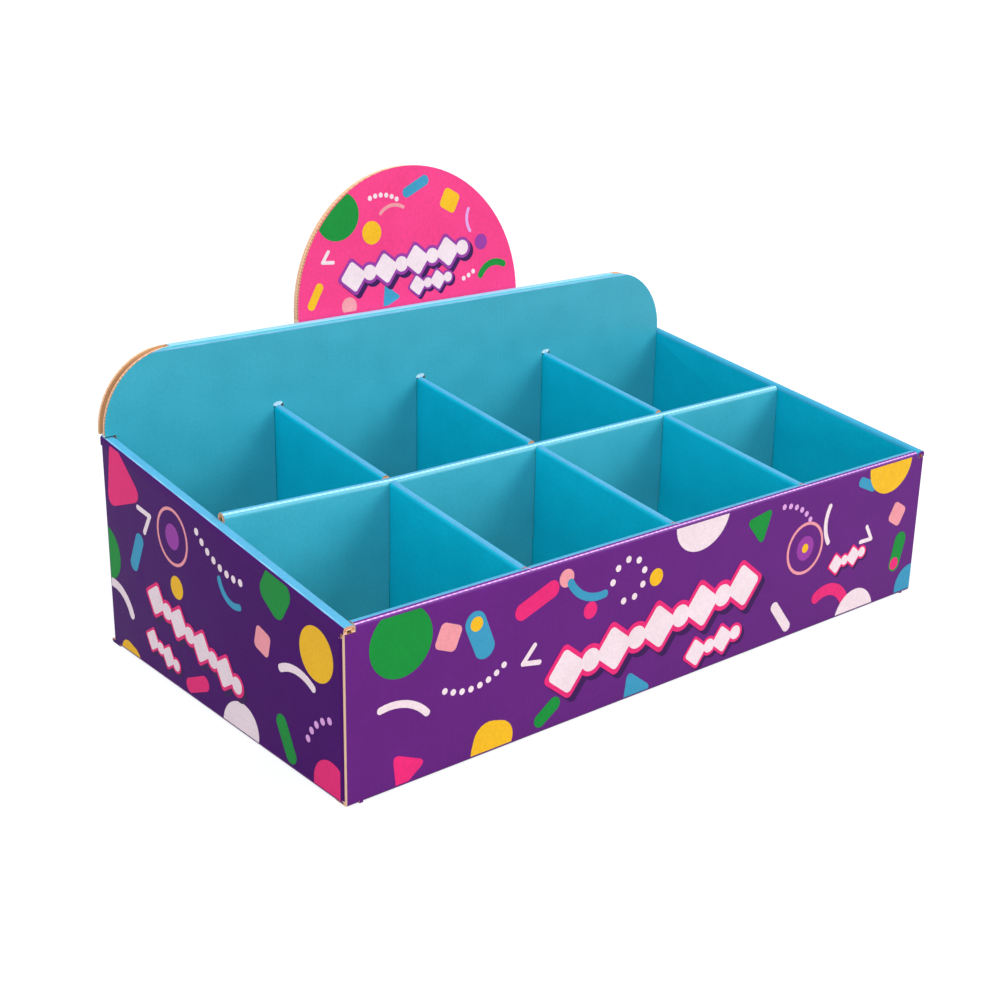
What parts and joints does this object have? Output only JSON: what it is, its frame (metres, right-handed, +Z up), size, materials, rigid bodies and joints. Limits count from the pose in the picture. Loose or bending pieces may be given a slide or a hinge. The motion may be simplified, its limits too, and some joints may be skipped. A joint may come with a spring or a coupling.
{
  "type": "counter display box",
  "caption": "Open printed corrugated tray with double roll-over walls, sloping sides, slotted dividers and a half-round header card behind.",
  "frame": {"origin": "centre of the bounding box at the height of the base's underside", "axes": "+Z up, the open front faces -Y, the long front wall runs along X"},
  "size_m": [0.4, 0.229, 0.2347],
  "materials": {
    "tray_board": "gloss-laminated print, purple outside and blue inside, raw kraft edges",
    "header_board": "gloss-laminated pink print, raw kraft edges and back",
    "divider_board": "gloss-laminated blue print, raw kraft edges"
  },
  "bodies": {
    "root": {"tray": "tray_board", "header_card": "header_board", "long_divider": "divider_board", "cross_divider_1": "divider_board", "cross_divider_2": "divider_board", "cross_divider_3": "divider_board"}
  },
  "joints": []
}
